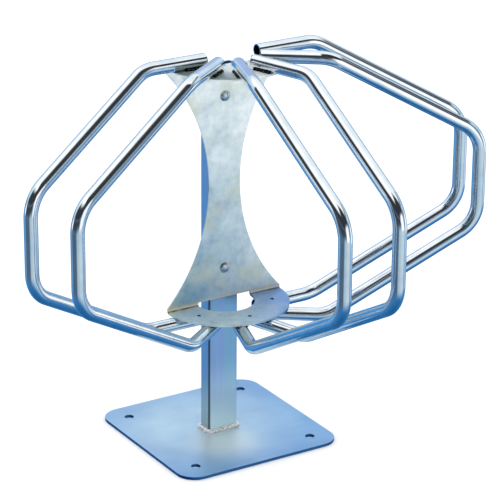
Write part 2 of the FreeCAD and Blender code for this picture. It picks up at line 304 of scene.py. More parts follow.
# Painted shade: a dark line up the front left corner.
plan = add(tree, "VectorMath", {0: place, 1: (1, 1, 0)}, operation="MULTIPLY")
from_shaded_corner = add(tree, "VectorMath", {0: plan.outputs[0], 1: (post_low.x, post_low.y, 0)},
                operation="DISTANCE")
on_corner_shade = add(tree, "MapRange", {"Value": from_shaded_corner.outputs["Value"], "From Min": CORNER_SHADE_TO,
                                 "From Max": CORNER_SHADE_FROM})
corner_shaded = add(tree, "MixRGB", {"Fac": on_corner_shade.outputs[0], "Color1": coloured.outputs[0],
                              "Color2": linear("#868E92")}, blend_type="MULTIPLY")
tree.links.new(corner_shaded.outputs[0], shader.inputs["Base Color"])
metal = add(tree, "MapRange", {"Value": foot.outputs[0], "To Min": 0.90, "To Max": 0.66})
tree.links.new(metal.outputs[0], shader.inputs["Metallic"])
gloss = add(tree, "MapRange", {"Value": lines.outputs[0], "From Min": 0.3, "From Max": 0.7,
                               "To Min": 0.31, "To Max": 0.28})
tree.links.new(gloss.outputs[0], shader.inputs["Roughness"])
dent = add(tree, "Bump", {"Height": lines.outputs[0], "Strength": 0.004, "Distance": 0.0002})
tree.links.new(dent.outputs[0], shader.inputs["Normal"])
post.data.materials.append(post_zinc)
fit(post, "post_zinc", "post")

# Foot weld
# A hand-laid fillet bead all round the post's foot. It is a row of overlapping ripples of weld metal,
# with a few drops of spatter on the plate beside it, and it was zinc plated together with the plate.
RIPPLE_R = 0.0035
RIPPLE_STEP = 0.0019
RIPPLE_WANDER = 0.0006
RIPPLE_LOWEST = -0.6
RIPPLE_GIRTH = (0.78, 1.14)
RIPPLE_THINNESS = 0.75
RIPPLE_FACETS = 20
RIPPLE_RINGS = 12
ROOT_OUT = 0.0018
BEAD_VOXEL = 0.0004
DROP_COUNT = 16
DROP_R = (0.0006, 0.0010)
DROP_AWAY = (0.005, 0.014)
DROP_FACETS = 12
DROP_RINGS = 8
weld_chance = random.Random(5)


def start_bead(name, place, radius):
    """Starts a bead with its first ripple and leaves it open, so that further ripples join it."""
    bpy.ops.object.select_all(action="DESELECT")
    bpy.ops.mesh.primitive_uv_sphere_add(segments=RIPPLE_FACETS, ring_count=RIPPLE_RINGS, radius=radius,
                                         location=place)
    return open_piece(name)


def add_ripple(place, radius, heading):
    """Adds one ripple of weld metal to the open bead, thin along the bead and uneven in size."""
    girth = weld_chance.uniform(*RIPPLE_GIRTH)
    bpy.ops.mesh.primitive_uv_sphere_add(segments=RIPPLE_FACETS, ring_count=RIPPLE_RINGS, radius=radius,
                                         location=place, rotation=(0, 0, heading),
                                         scale=(RIPPLE_THINNESS, girth, girth))


def close_bead(bead):
    """Melts the open bead's ripples into one skin."""
    bpy.ops.object.mode_set(mode="OBJECT")
    modify(bead, "REMESH", mode="VOXEL", voxel_size=BEAD_VOXEL)
    modify(bead, "SMOOTH", factor=0.5, iterations=2)
    bpy.ops.object.shade_smooth()


half_x = post_size.x / 2 - POST_CORNER_R
half_y = post_size.y / 2 - POST_CORNER_R
turn_r = POST_CORNER_R + ROOT_OUT
quarter = turn_r * math.pi / 2
lap = 4 * (half_x + half_y + quarter)
bead_z = post_low.z + ROOT_OUT


def foot_place(distance):
    """Point on the bead's line and its heading, at a distance round the post from its front middle."""
    heading = 0.0
    left = distance % lap
    place = Vector((0.0, -half_y - turn_r, bead_z))
    for run in (half_x, 2 * half_y, 2 * half_x, 2 * half_y, half_x):
        ahead = Vector((math.cos(heading), math.sin(heading), 0))
        if left <= run:
            return place + ahead * left, heading
        place += ahead * run
        left -= run
        aside = Vector((-ahead.y, ahead.x, 0))
        if left <= quarter:
            turn = left / turn_r
            place += ahead * (turn_r * math.sin(turn)) + aside * (turn_r * (1 - math.cos(turn)))
            return place, heading + turn
        place += (ahead + aside) * turn_r
        heading += math.pi / 2
        left -= quarter
    return place, heading


first_place = foot_place(0.0)[0]
foot_bead = start_bead("foot_bead", first_place, RIPPLE_R)
for number in range(1, round(lap / RIPPLE_STEP)):
    place, heading = foot_place(number * RIPPLE_STEP)
    wander = Vector((weld_chance.uniform(-1, 1), weld_chance.uniform(-1, 1),
                     weld_chance.uniform(RIPPLE_LOWEST, 1)))
    add_ripple(place + wander * RIPPLE_WANDER, RIPPLE_R, heading)
for number in range(DROP_COUNT):
    place, heading = foot_place(weld_chance.uniform(0, lap))
    place += Vector((math.sin(heading), -math.cos(heading), 0)) * weld_chance.uniform(*DROP_AWAY)
    drop_r = weld_chance.uniform(*DROP_R)
    place.z = post_low.z + drop_r / 3
    bpy.ops.mesh.primitive_uv_sphere_add(segments=DROP_FACETS, ring_count=DROP_RINGS, radius=drop_r,
                                         location=place)
close_bead(foot_bead)

# Zinc plated weld metal: bright and wet-looking on the ripples' crests, with dark burnt specks of slag
# about 2 mm across in the valleys.
SLAG_SPECK = 0.0022
weld_zinc, tree, shader = new_finish("zinc_plated_weld_metal")
shader.inputs["Metallic"].default_value = 0.6
place = add(tree, "TexCoord").outputs["Object"]
specks = add(tree, "TexNoise", {"Vector": place, "Scale": 1 / SLAG_SPECK, "Detail": 2.0})
tint = add(tree, "ValToRGB", {"Fac": specks.outputs[0]},
           [(0.30, linear("#3C3C3A")), (0.41, linear("#E6E7E4")), (0.75, linear("#FFFFFD"))])
tree.links.new(tint.outputs[0], shader.inputs["Base Color"])
gloss = add(tree, "MapRange", {"Value": specks.outputs[0], "From Min": 0.3, "From Max": 0.6,
                               "To Min": 0.55, "To Max": 0.28})
tree.links.new(gloss.outputs[0], shader.inputs["Roughness"])
dent = add(tree, "Bump", {"Height": specks.outputs[0], "Strength": 0.5, "Distance": 0.0008})
tree.links.new(dent.outputs[0], shader.inputs["Normal"])
foot_bead.data.materials.append(weld_zinc)
fit(foot_bead, "weld_metal", "foot_weld")

# Bracket
# One piece of 3 mm sheet, cut to a waisted outline and folded forward at the top and at the bottom into two
# half-ring flanges. Two domed bolts hold it on the post. Its face is bare.
SHEET_THICKNESS = 0.003
SHEET_EDGE_R = 0.0004
FLAT_WITHIN = math.radians(0.5)
bracket_low, bracket_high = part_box("bracket")
bracket_front_y = bracket_high.y - SHEET_THICKNESS


def eased_copy(node, name, radius):
    """A copy of a solid's mesh with its triangles merged and its cut edges rounded a little."""
    piece = bpy.data.objects.new(name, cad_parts[node].data.copy())
    piece.data.name = name
    piece.data.materials.clear()
    bpy.context.scene.collection.objects.link(piece)
    take(piece)
    bpy.ops.mesh.customdata_custom_splitnormals_clear()
    bpy.ops.object.mode_set(mode="EDIT")
    bpy.ops.mesh.select_all(action="SELECT")
    bpy.ops.mesh.remove_doubles(threshold=DOUBLES_WITHIN)
    bpy.ops.mesh.dissolve_limited(angle_limit=FLAT_WITHIN)
    bpy.ops.object.mode_set(mode="OBJECT")
    ease_edges(piece, radius)
    return piece


bracket = eased_copy("bracket", "folded_bracket", SHEET_EDGE_R)

# Zinc plated sheet, matt and milky from the bath: mottled patches of 9 and 28 mm. It is less metal near the
# top, so that the top takes more of the white dome and reads lighter: painted light. It is bluer and darker
# lower down, to the left and on the lower flange: painted shade. A yellowish passivation tint comes up in
# patches of 45 mm and gathers in the lower fold as tan, and along the fold a painted cream highlight lies
# above a painted dark shadow line in its corner. The lower flange's clear blue towards its right end is a
# painted reflection, and the lower flange is a little less metal. The outer parts of the upper flange's top
# face, round the tube ends, are darkened with painted shade. The bath's fine grain is drawn 1.6 mm coarse so
# that it shows.
PATCH = 0.028
SMALL_PATCH = 0.009
WARM_PATCH = 0.045
FLANGE_BLUE_TO = 0.012
FLANGE_PAINTED_SHADE = 0.55
FLANGE_METAL_LOSS = 0.24
FOLD_SHADOW_FROM = 0.0014
FOLD_SHADOW_TO = 0.0024
FOLD_STAIN_AND_LIGHT = 0.010
STAIN_AND_LIGHT_ABOVE_FLANGE = 0.001
TUBE_SHADE_BELOW_TOP = 0.0015
TUBE_SHADE_FROM = 0.020
TUBE_SHADE_TO = 0.045
SHEET_GRAIN = 0.0016
sheet_zinc, tree, shader = new_finish("matt_zinc_plated_sheet")
place = add(tree, "TexCoord").outputs["Object"]
spot = add(tree, "SeparateXYZ", {"Vector": place})
patches = add(tree, "TexNoise", {"Vector": place, "Scale": 1 / PATCH, "Detail": 5.0, "Roughness": 0.6})
small = add(tree, "TexNoise", {"Vector": place, "Scale": 1 / SMALL_PATCH, "Detail": 3.0})
mottle = add(tree, "MapRange", {"Value": small.outputs[0], "To Min": -0.14, "To Max": 0.14})
level = add(tree, "Math", {0: patches.outputs[0], 1: mottle.outputs[0]}, operation="ADD")
tint = add(tree, "ValToRGB", {"Fac": level.outputs[0]},
           [(0.30, linear("#C8D7DC")), (0.46, linear("#E0EAEC")), (0.57, linear("#EDF4F2")),
            (0.70, linear("#FDFFFF"))])
# Painted shade: bluer and darker lower down, to the left and on the lower flange.
lower = add(tree, "MapRange", {"Value": spot.outputs["Z"], "From Min": bracket_high.z,
                               "From Max": bracket_low.z})
leftward = add(tree, "MapRange", {"Value": spot.outputs["X"], "From Min": bracket_high.x,
                                  "From Max": bracket_low.x})
left_share = add(tree, "MapRange", {"Value": leftward.outputs[0], "From Min": 0.2, "From Max": 0.8,
                                    "To Min": 0.35, "To Max": 1.0})
on_flange = add(tree, "MapRange", {"Value": spot.outputs["Z"], "From Min": bracket_low.z + FLANGE_BLUE_TO,
                                   "From Max": bracket_low.z})
lower_left_shade = add(tree, "Math", {0: lower.outputs[0], 1: left_share.outputs[0]}, operation="MULTIPLY")
painted_shade_share = add(tree, "MapRange", {"Value": on_flange.outputs[0], "To Min": lower_left_shade.outputs[0],
                              "To Max": FLANGE_PAINTED_SHADE})
painted_shade = add(tree, "MixRGB", {"Fac": painted_shade_share.outputs[0], "Color1": tint.outputs[0],
                              "Color2": linear("#94B8CE")}, blend_type="MULTIPLY")
warmth = add(tree, "TexNoise", {"Vector": place, "Scale": 1 / WARM_PATCH, "Detail": 4.0, "Roughness": 0.6})
warm = add(tree, "MapRange", {"Value": warmth.outputs[0], "From Min": 0.48, "From Max": 0.68,
                              "To Max": 0.55})
yellowish = add(tree, "MixRGB", {"Fac": warm.outputs[0], "Color1": painted_shade.outputs[0],
                                 "Color2": linear("#D2D6BA")})
# Painted reflection: a clear blue towards the lower flange's right end.
blue_share = add(tree, "MapRange", {"Value": leftward.outputs[0], "From Min": 0.65, "From Max": 0.10})
painted_reflection_share = add(tree, "Math", {0: on_flange.outputs[0], 1: blue_share.outputs[0]}, operation="MULTIPLY")
painted_blue = add(tree, "MixRGB", {"Fac": painted_reflection_share.outputs[0], "Color1": yellowish.outputs[0],
                             "Color2": linear("#4C86CA")})
flange_top = bracket_low.z + SHEET_THICKNESS
side_view = add(tree, "VectorMath", {0: place, 1: (0, 1, 1)}, operation="MULTIPLY")
from_fold = add(tree, "VectorMath", {0: side_view.outputs[0], 1: (0, bracket_front_y, flange_top)},
                operation="DISTANCE")
fold_share = add(tree, "MapRange", {"Value": from_fold.outputs["Value"], "From Max": FOLD_STAIN_AND_LIGHT})
# Painted shade and highlight in the lower fold: a dark line in its corner, a cream line on its curve, then
# tan tint.
fold_stain_and_light = add(tree, "ValToRGB", {"Fac": fold_share.outputs[0]},
                [(0.14, linear("#5A5038")), (0.24, linear("#F2EAD2")), (0.40, linear("#E2CFA6")),
                 (0.80, linear("#CDB48A"))])
above = add(tree, "MapRange", {"Value": spot.outputs["Z"], "From Min": flange_top,
                               "From Max": flange_top + STAIN_AND_LIGHT_ABOVE_FLANGE})
corner = add(tree, "MapRange", {"Value": from_fold.outputs["Value"], "From Min": FOLD_SHADOW_TO,
                                "From Max": FOLD_SHADOW_FROM})
on_stain_and_light = add(tree, "Math", {0: above.outputs[0], 1: corner.outputs[0]}, operation="MAXIMUM")
fading = add(tree, "MapRange", {"Value": fold_share.outputs[0], "From Min": 0.35, "From Max": 1.0,
                                "To Min": 1.0, "To Max": 0.0})
uneven = add(tree, "MapRange", {"Value": small.outputs[0], "From Min": 0.32, "From Max": 0.58,
                                "To Min": 0.35, "To Max": 0.95})
streak = add(tree, "Math", {0: fading.outputs[0], 1: uneven.outputs[0]}, operation="MULTIPLY")
stain_and_light = add(tree, "Math", {0: streak.outputs[0], 1: on_stain_and_light.outputs[0]}, operation="MULTIPLY")
stained_and_lit = add(tree, "MixRGB", {"Fac": stain_and_light.outputs[0], "Color1": painted_blue.outputs[0],
                               "Color2": fold_stain_and_light.outputs[0]})
# Painted shade on the upper flange's top face, at its outer parts round the tube ends.
at_top = add(tree, "MapRange", {"Value": spot.outputs["Z"], "From Min": bracket_high.z - TUBE_SHADE_BELOW_TOP,
                                "From Max": bracket_high.z})
sideways = add(tree, "Math", {0: spot.outputs["X"]}, operation="ABSOLUTE")
outer = add(tree, "MapRange", {"Value": sideways.outputs[0], "From Min": TUBE_SHADE_FROM, "From Max": TUBE_SHADE_TO})
tube_shade_share = add(tree, "Math", {0: at_top.outputs[0], 1: outer.outputs[0]}, operation="MULTIPLY")
tube_shaded = add(tree, "MixRGB", {"Fac": tube_shade_share.outputs[0], "Color1": stained_and_lit.outputs[0],
                              "Color2": linear("#8C9A98")}, blend_type="MULTIPLY")
tree.links.new(tube_shaded.outputs[0], shader.inputs["Base Color"])
# Painted light: less metal near the top, so that the top reads lighter.
lit_top_metal = add(tree, "MapRange", {"Value": lower.outputs[0], "From Min": 0.1, "From Max": 0.6,
                              "To Min": 0.20, "To Max": 0.62})
metal = add(tree, "Math", {0: on_flange.outputs[0], 1: -FLANGE_METAL_LOSS, 2: lit_top_metal.outputs[0]},
            operation="MULTIPLY_ADD")
tree.links.new(metal.outputs[0], shader.inputs["Metallic"])
gloss = add(tree, "MapRange", {"Value": level.outputs[0], "From Min": 0.3, "From Max": 0.7,
                               "To Min": 0.50, "To Max": 0.34})
tree.links.new(gloss.outputs[0], shader.inputs["Roughness"])
grain = add(tree, "TexNoise", {"Vector": place, "Scale": 1 / SHEET_GRAIN, "Detail": 3.0})
dent = add(tree, "Bump", {"Height": grain.outputs[0], "Strength": 0.15, "Distance": 0.0003})
tree.links.new(dent.outputs[0], shader.inputs["Normal"])
bracket.data.materials.append(sheet_zinc)

# The punched holes and cut-outs in the two flanges show their sheared walls in the same dark blue as the
# plate's edges, painted shade.
FLANGE_HOLE_R = 0.003
FLANGE_HOLE_STEP = math.radians(63)
FLANGE_CUTOUT_R = 0.045
CUTOUT_HEIGHT = 0.008
bracket.data.materials.append(shaded_edge_zinc)
bracket_front = Vector((0, bracket_front_y))
flange_r = bracket_front_y - bracket_low.y
punched = [(bracket_front, FLANGE_CUTOUT_R)]
for step in (-1, 0, 1):
    angle = step * FLANGE_HOLE_STEP
    aim = Vector((math.sin(angle), -math.cos(angle)))
    punched.append((bracket_front + aim * ((flange_r + FLANGE_CUTOUT_R) / 2), FLANGE_HOLE_R))
for face in bracket.data.polygons:
    from_end = min(face.center.z - bracket_low.z, bracket_high.z - face.center.z)
    if abs(face.normal.z) < WALL_NORMAL_Z and from_end < CUTOUT_HEIGHT:
        for middle, radius in punched:
            if (face.center.xy - middle).length < radius + SHEET_EDGE_R / 2:
                face.material_index = 1
fit(bracket, "bracket_zinc", "bracket")

# Hoops
# Six 20 mm round steel tubes of 1.5 mm wall, each cold bent at four corners, bright zinc plated and cut off
# open at both ends. Two of them make a holder, and the three holders stand 72 degrees apart.
TUBE_R = 0.010
TUBE_WALL = 0.0015
TUBE_RIM_R = 0.0003
TUBE_FACETS = 64
BEND_R = 0.050
BEND_STEPS = 32
WHEEL_SLOT = 0.068
HOLDER_STEP = math.radians(72)
SPLAY = HOLDER_STEP / 4
TUBE_END_GAP = 0.008
REAR_HOOP_CLEARANCE = 0.005
HOOP_REACH = 0.365
OUTER_RUN = 0.138
hoop_offset = WHEEL_SLOT / 2 + TUBE_R
tube_end_r = (TUBE_R * math.cos(SPLAY) + TUBE_END_GAP / 2) / math.sin(SPLAY)
fan_centre = Vector((0, bracket_front_y - REAR_HOOP_CLEARANCE - TUBE_R, 0))
bracket_middle = (bracket_low.z + bracket_high.z) / 2
UP = Vector((0, 0, 1))


def bearing(angle):
    """Level unit vector at an angle, 0 straight forward and positive to the right."""
    return Vector((math.sin(angle), -math.cos(angle), 0))


def hoop_corners(holder_angle, side):
    """Corners of a hoop's centreline, from its end on the top flange to its end under the bottom one."""
    run = bearing(holder_angle + side * SPLAY)
    end = fan_centre + run * tube_end_r
    turn_in = fan_centre + run * (hoop_offset / math.sin(SPLAY))
    outer = (fan_centre + bearing(holder_angle) * HOOP_REACH
             + bearing(holder_angle + math.pi / 2) * (side * hoop_offset))
    top = UP * (bracket_high.z + TUBE_R)
    bottom = UP * (bracket_low.z - TUBE_R)
    outer_top = UP * (bracket_middle + OUTER_RUN / 2)
    outer_bottom = UP * (bracket_middle - OUTER_RUN / 2)
    return [end + top, turn_in + top, outer + outer_top, outer + outer_bottom, turn_in + bottom, end + bottom]


def bend_tube(name, corners):
    """Pulls a ring of tube along the straight runs and spins it round the bends, then gives it its wall."""
    along = (corners[1] - corners[0]).normalized()
    bpy.ops.object.select_all(action="DESELECT")
    bpy.ops.mesh.primitive_circle_add(vertices=TUBE_FACETS, radius=TUBE_R, location=corners[0],
                                      rotation=along.to_track_quat("Z", "Y").to_euler())
    tube = open_piece(name)
    start = corners[0]
    for before, corner, after in zip(corners, corners[1:], corners[2:]):
        back = (before - corner).normalized()
        ahead = (after - corner).normalized()
        half_angle = back.angle(ahead) / 2
        setback = BEND_R / math.tan(half_angle)
        centre = corner + (back + ahead).normalized() * (BEND_R / math.sin(half_angle))
        bpy.ops.mesh.extrude_region_move(TRANSFORM_OT_translate={"value": corner + back * setback - start})
        bpy.ops.mesh.spin(steps=BEND_STEPS, angle=2 * half_angle - math.pi, center=centre,
                          axis=ahead.cross(back))
        start = corner + ahead * setback
    bpy.ops.mesh.extrude_region_move(TRANSFORM_OT_translate={"value": corners[-1] - start})
    close_piece()
    modify(tube, "SOLIDIFY", thickness=TUBE_WALL, offset=-1, use_rim=True, material_offset=1)
    ease_edges(tube, TUBE_RIM_R)
    return tube


# Bright zinc plated drawn tube, clear passivated: close to a mirror, with a faint blue cast. Soft clouds of
# 30 mm change its gloss, and a fine 2.5 mm unevenness of the drawn steel breaks the reflections' edges.
TUBE_CLOUD = 0.030
DRAWN_DENT = 0.0025
tube_zinc, tree, shader = new_finish("bright_zinc_plated_tube")
place = add(tree, "TexCoord").outputs["Object"]
clouds = add(tree, "TexNoise", {"Vector": place, "Scale": 1 / TUBE_CLOUD, "Detail": 4.0, "Roughness": 0.6})
tint = add(tree, "ValToRGB", {"Fac": clouds.outputs[0]},
           [(0.32, linear("#DCE3E9")), (0.55, linear("#EBEFF2")), (0.75, linear("#F1F2F1"))])
tree.links.new(tint.outputs[0], shader.inputs["Base Color"])
gloss = add(tree, "MapRange", {"Value": clouds.outputs[0], "From Min": 0.3, "From Max": 0.7,
                               "To Min": 0.13, "To Max": 0.06})
tree.links.new(gloss.outputs[0], shader.inputs["Roughness"])
dents = add(tree, "TexNoise", {"Vector": place, "Scale": 1 / DRAWN_DENT, "Detail": 3.0})
dent = add(tree, "Bump", {"Height": dents.outputs[0], "Strength": 0.05, "Distance": 0.0002})
tree.links.new(dent.outputs[0], shader.inputs["Normal"])

# Inside of the tube: bare drawn steel that the plating doesn't reach, dull; it is drawn nearly black, which
# is also painted shade deep in the bore.
BORE_SCALE = 0.004
bore_steel_and_shade, tree, shader = new_finish("unplated_tube_bore_and_shade")
place = add(tree, "TexCoord").outputs["Object"]
scale_spots = add(tree, "TexNoise", {"Vector": place, "Scale": 1 / BORE_SCALE, "Detail": 3.0})
tint = add(tree, "ValToRGB", {"Fac": scale_spots.outputs[0]},
           [(0.35, linear("#1B1C1E")), (0.70, linear("#3A3735"))])
tree.links.new(tint.outputs[0], shader.inputs["Base Color"])
shader.inputs["Roughness"].default_value = 0.7

HOLDERS = {"left": (-1, "rear", "front"), "front": (0, "left", "right"), "right": (1, "front", "rear")}
hoops = {}
for holder, (step, first, second) in HOLDERS.items():
    for side, side_name in ((-1, first), (1, second)):
        node = f"{holder}_hoop_{side_name}"
        hoops[node] = hoop_corners(step * HOLDER_STEP, side)
        tube = bend_tube(f"{holder}_tube_{side_name}", hoops[node])
        tube.data.materials.append(tube_zinc)
        tube.data.materials.append(bore_steel_and_shade)
        fit(tube, "tube_zinc", node)

# Hoop welds
# Each tube end lies on the top flange or under the bottom one, held by two short fillet beads of weld metal,
# one in the groove on either side of the tube.
BEAD_LENGTH = 0.032
BEAD_SETBACK = 0.004
GROOVE_OUT = 0.0078
GROOVE_UP = 0.0014
GROOVE_WANDER = 0.0003
GROOVE_RIPPLE_R = 0.0023
GROOVE_RIPPLE_STEP = 0.0016

groove_x = BEAD_SETBACK + GROOVE_RIPPLE_R
groove_bead = start_bead("groove_bead", (groove_x, GROOVE_OUT, GROOVE_UP), GROOVE_RIPPLE_R)
ripple_count = int((BEAD_LENGTH - 2 * GROOVE_RIPPLE_R) / GROOVE_RIPPLE_STEP)
for number in range(1, ripple_count + 1):
    ripple_x = groove_x + number * GROOVE_RIPPLE_STEP
    wander = weld_chance.uniform(-GROOVE_WANDER, GROOVE_WANDER)
    add_ripple((ripple_x, GROOVE_OUT + wander, GROOVE_UP), GROOVE_RIPPLE_R, 0.0)
close_bead(groove_bead)

# Dark weld metal: in the grooves the beads are painted nearly black, the painted shade of the crevice between
# tube and flange, so they read as a dark line with a few bright spots of 2 mm.
BRIGHT_SPOT = 0.002
crevice_shade_weld, tree, shader = new_finish("weld_in_painted_crevice_shade")
place = add(tree, "TexCoord").outputs["Object"]
bright_spots = add(tree, "TexNoise", {"Vector": place, "Scale": 1 / BRIGHT_SPOT, "Detail": 2.0})
tint = add(tree, "ValToRGB", {"Fac": bright_spots.outputs[0]},
           [(0.35, linear("#0E0F10")), (0.58, linear("#2B2D30")), (0.72, linear("#A3A9AD"))])
tree.links.new(tint.outputs[0], shader.inputs["Base Color"])
shader.inputs["Roughness"].default_value = 0.5
dent = add(tree, "Bump", {"Height": bright_spots.outputs[0], "Strength": 0.4, "Distance": 0.0006})
tree.links.new(dent.outputs[0], shader.inputs["Normal"])
groove_bead.data.materials.append(crevice_shade_weld)

# The second bead of a tube end is the first turned half round, moved back to lie along the same stretch.
for node, corners in hoops.items():
    tube_ends = (("upper", corners[0], corners[1], UP), ("lower", corners[-1], corners[-2], -UP))
    for level, end, corner, rise in tube_ends:
        along = (corner - end).normalized()
        seat = end - rise * TUBE_R
        beads = []
        for side in (-1, 1):
            bead = groove_bead.copy()
            bead.data = groove_bead.data.copy()
            bpy.context.scene.collection.objects.link(bead)
            ahead = along * side
            across = rise.cross(ahead)
            turn = Matrix((ahead, across, rise)).transposed().to_4x4()
            back = 0 if side > 0 else -(BEAD_LENGTH + 2 * BEAD_SETBACK)
            shift = Matrix.Translation((back, 0, 0))
            bead.data.transform(Matrix.Translation(seat) @ turn @ shift)
            beads.append(bead)
        take(*beads)
        bpy.ops.object.join()
        weld = bpy.context.object
        weld.name = f"{node}_{level}_bead"
        weld.data.name = weld.name
        fit(weld, "weld_metal", f"{node}_{level}_weld")
bpy.data.objects.remove(groove_bead)

# Bolts
# Two M6 cup-square bolts hold the bracket on the post: a low domed head, a square neck in the sheet's square
# hole, and a thread that comes out behind the post, drawn as rings. Headed and rolled steel, zinc plated.
BOLT_R = 0.003
BOLT_HEAD_R = 0.008
BOLT_HEAD_RIM = 0.0008
DOME_RINGS = 8
THREAD_PITCH = 0.001
THREAD_DEPTH = 0.0004
THREAD_LENGTH = 0.014
LATHE_STEPS = 48
LATHE_START = 0.001
FACET_ANGLE = math.radians(30)


def turn_on_lathe(name, profile, height):
    """Turns a closed outline of (radius, y) points about the line along Y at a height, as on a lathe."""
    places = [Vector((radius, y, height)) for radius, y in profile]
    bpy.ops.object.select_all(action="DESELECT")
    bpy.ops.mesh.primitive_plane_add(size=LATHE_START, location=places[0])
    piece = open_piece(name)
    bpy.ops.mesh.merge(type="CENTER")
    for before, after in zip(places, places[1:]):
        bpy.ops.mesh.extrude_vertices_move(TRANSFORM_OT_translate={"value": after - before})
    bpy.ops.mesh.select_all(action="SELECT")
    bpy.ops.mesh.spin(steps=LATHE_STEPS, angle=2 * math.pi, center=(0, 0, height), axis=(0, 1, 0))
    close_piece()
    return piece


# Zinc plated bolt steel: bright, with a soft grey-blue unevenness of 3 mm.
BOLT_CLOUD = 0.003
bolt_zinc, tree, shader = new_finish("zinc_plated_bolt_steel")
place = add(tree, "TexCoord").outputs["Object"]
clouds = add(tree, "TexNoise", {"Vector": place, "Scale": 1 / BOLT_CLOUD, "Detail": 3.0})
tint = add(tree, "ValToRGB", {"Fac": clouds.outputs[0]},
           [(0.30, linear("#A9B0B4")), (0.70, linear("#DDE2E4"))])
tree.links.new(tint.outputs[0], shader.inputs["Base Color"])
gloss = add(tree, "MapRange", {"Value": clouds.outputs[0], "To Min": 0.40, "To Max": 0.24})
tree.links.new(gloss.outputs[0], shader.inputs["Roughness"])
dent = add(tree, "Bump", {"Height": clouds.outputs[0], "Strength": 0.1, "Distance": 0.0003})
tree.links.new(dent.outputs[0], shader.inputs["Normal"])

for level, height in bolt_heights.items():
    bolt_low, bolt_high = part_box(level + "_bolt")
    dome_y = bracket_front_y - BOLT_HEAD_RIM
    rise = dome_y - bolt_low.y
    dome_r = (BOLT_HEAD_R ** 2 + rise ** 2) / (2 * rise)
    outline = [(0.0, bolt_low.y)]
    for ring in range(1, DOME_RINGS + 1):
        ring_r = BOLT_HEAD_R * ring / DOME_RINGS
        outline.append((ring_r, bolt_low.y + dome_r - math.sqrt(dome_r ** 2 - ring_r ** 2)))
    outline += [(BOLT_HEAD_R, bracket_front_y), (BOLT_R, bracket_front_y)]
    ridge_y = bolt_high.y - THREAD_LENGTH
    while ridge_y < bolt_high.y - THREAD_PITCH:
        outline += [(BOLT_R, ridge_y), (BOLT_R - THREAD_DEPTH, ridge_y + THREAD_PITCH / 2)]
        ridge_y += THREAD_PITCH
    outline += [(BOLT_R - THREAD_DEPTH, bolt_high.y), (0.0, bolt_high.y)]
    bolt = turn_on_lathe(level + "_cup_bolt", outline, height)
    bpy.ops.mesh.primitive_cube_add(size=1, location=(0, bracket_front_y + SHEET_THICKNESS / 2, height))
    neck = bpy.context.object
    neck.scale = (2 * BOLT_R, SHEET_THICKNESS, 2 * BOLT_R)
    cut_out(bolt, neck, "UNION")
    take(bolt)
    bpy.ops.object.shade_smooth_by_angle(angle=FACET_ANGLE)
    bolt.data.materials.append(bolt_zinc)
    fit(bolt, "bolt_zinc", level + "_bolt")

# Washers and nuts
# Behind the post each bolt carries a flat stamped washer and a hexagon nut with chamfered corners, both of
# zinc plated steel. The nut pulls the bracket against the post's front.
WASHER_EDGE_R = 0.0003
NUT_BORE_R = 0.00305
NUT_CHAMFER = 0.0007

for level, height in bolt_heights.items():
    washer_low, washer_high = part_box(level + "_washer")
    washer_r = (washer_high.x - washer_low.x) / 2
    outline = [(BOLT_HOLE_R, washer_low.y), (washer_r, washer_low.y), (washer_r, washer_high.y),
               (BOLT_HOLE_R, washer_high.y), (BOLT_HOLE_R, washer_low.y)]
    washer = turn_on_lathe(level + "_flat_washer", outline, height)
    ease_edges(washer, WASHER_EDGE_R)
    washer.data.materials.append(bolt_zinc)
    fit(washer, "bolt_zinc", level + "_washer")

    nut_low, nut_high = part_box(level + "_nut")
    nut_r = (nut_high.z - nut_low.z) / 2
    nut_depth = nut_high.y - nut_low.y
    bpy.ops.mesh.primitive_cylinder_add(vertices=6, radius=nut_r, depth=nut_depth,
                                        location=(0, (nut_low.y + nut_high.y) / 2, height),
                                        rotation=(math.pi / 2, 0, 0))
    nut = open_piece(level + "_hexagon_nut")
    close_piece()
    end_r = nut_r - 2 * NUT_CHAMFER
    wide_r = nut_r + NUT_CHAMFER
    outline = [(0.0, nut_low.y - NUT_CHAMFER / 2), (end_r, nut_low.y - NUT_CHAMFER / 2),
               (wide_r, nut_low.y + NUT_CHAMFER), (wide_r, nut_high.y - NUT_CHAMFER),
               (end_r, nut_high.y + NUT_CHAMFER / 2), (0.0, nut_high.y + NUT_CHAMFER / 2)]
    cut_out(nut, turn_on_lathe("nut_blank", outline, height), "INTERSECT")
    bpy.ops.mesh.primitive_cylinder_add(vertices=BOLT_HOLE_FACETS, radius=NUT_BORE_R, depth=2 * nut_depth,
                                        location=(0, nut_low.y, height), rotation=(math.pi / 2, 0, 0))
    cut_out(nut, bpy.context.object)
    take(nut)
    bpy.ops.object.shade_smooth_by_angle(angle=FACET_ANGLE)
    nut.data.materials.append(bolt_zinc)
    fit(nut, "bolt_zinc", level + "_nut")

# Floor
# A plain pale floor for the rack to stand on, seen by the camera and left out of the metal's reflections.
FLOOR_SIDE = 40.0
FLOOR_DROP = 0.0003
FLOOR_MOTTLE = 0.8
bpy.ops.object.select_all(action="DESELECT")
bpy.ops.mesh.primitive_plane_add(size=FLOOR_SIDE, location=(0, 0, -FLOOR_DROP))
floor = bpy.context.object
floor.name = "floor"
floor.visible_glossy = False
pale, tree, shader = new_finish("pale_floor")
place = add(tree, "TexCoord").outputs["Object"]
mottle = add(tree, "TexNoise", {"Vector": place, "Scale": 1 / FLOOR_MOTTLE, "Detail": 2.0})
tint = add(tree, "ValToRGB", {"Fac": mottle.outputs[0]},
           [(0.2, linear("#F8F9FA")), (0.8, linear("#FBFCFC"))])
tree.links.new(tint.outputs[0], shader.inputs["Base Color"])
shader.inputs["Metallic"].default_value = 0.0
shader.inputs["Roughness"].default_value = 0.9
shader.inputs["Specular IOR Level"].default_value = 0.0
floor.data.materials.append(pale)

